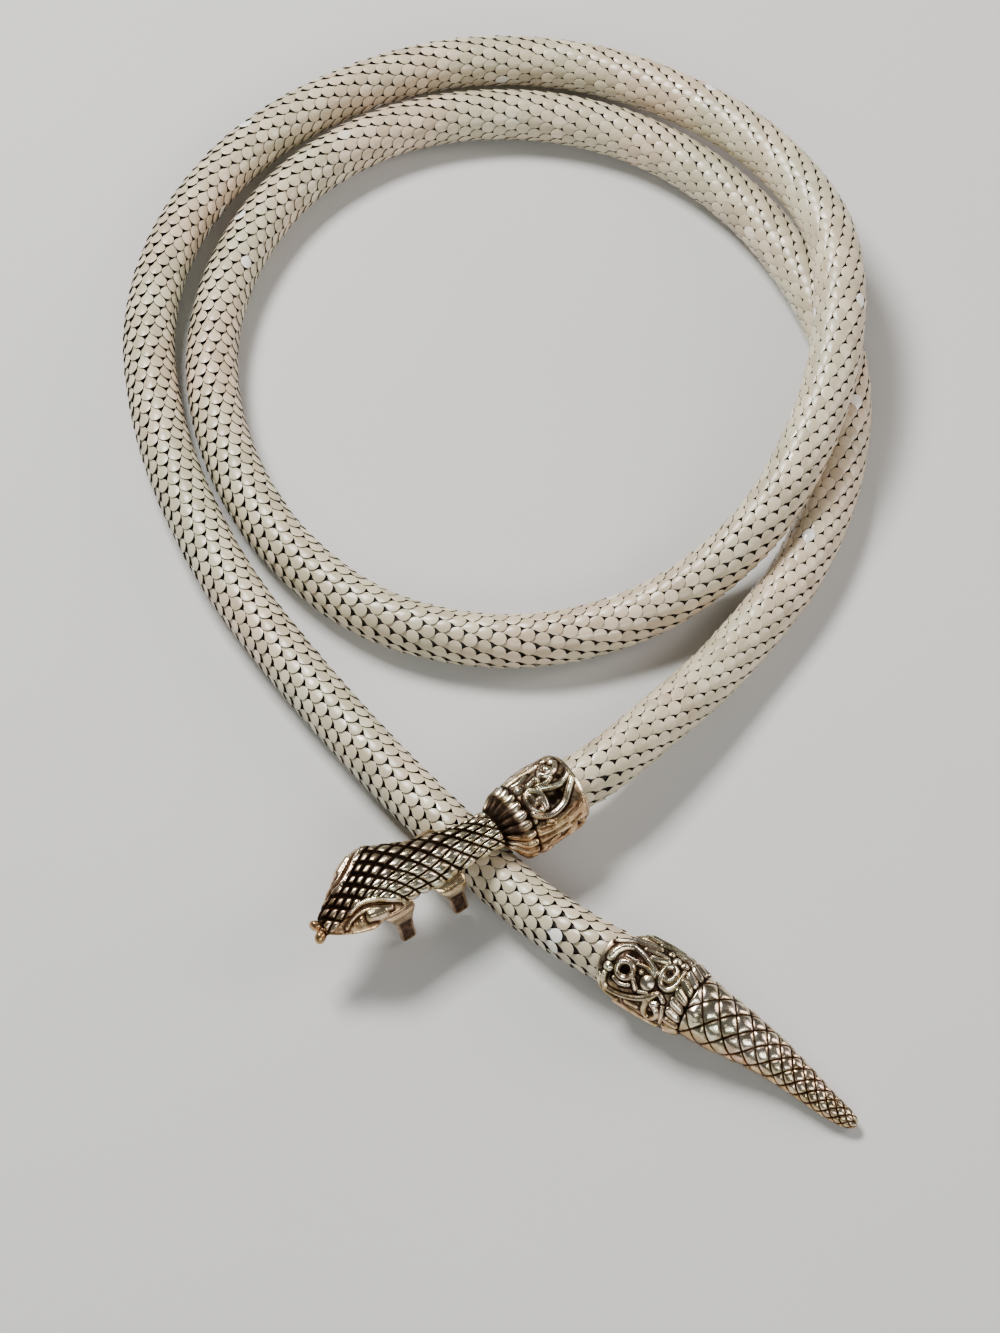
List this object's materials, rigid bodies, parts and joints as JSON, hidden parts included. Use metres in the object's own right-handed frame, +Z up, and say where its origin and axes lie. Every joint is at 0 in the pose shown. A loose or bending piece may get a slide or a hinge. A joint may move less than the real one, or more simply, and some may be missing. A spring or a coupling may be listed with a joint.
{
  "type": "snake chain necklace",
  "caption": "Snake chain necklace of pale enamelled scale mesh, lying in two loops, its cast snake head clasped over the strand above a cast scaled tail",
  "frame": {"origin": "middle of the opening for the neck, on the surface that the necklace lies on", "axes": "Z up from that surface; X to the right and -Y towards the viewer as pictured, with the head and tail on the -Y side"},
  "size_m": [0.1454, 0.2464, 0.0215],
  "materials": {
    "enamel_mesh": "satin ivory enamel on small metal scales",
    "antique_metal": "cast, antiqued dark in the grooves and polished on the high spots"
  },
  "bodies": {
    "root": {"mesh_inner_loop": "enamel_mesh", "mesh_outer_loop": "enamel_mesh", "snake_head": "antique_metal", "tail": "antique_metal"}
  },
  "joints": []
}
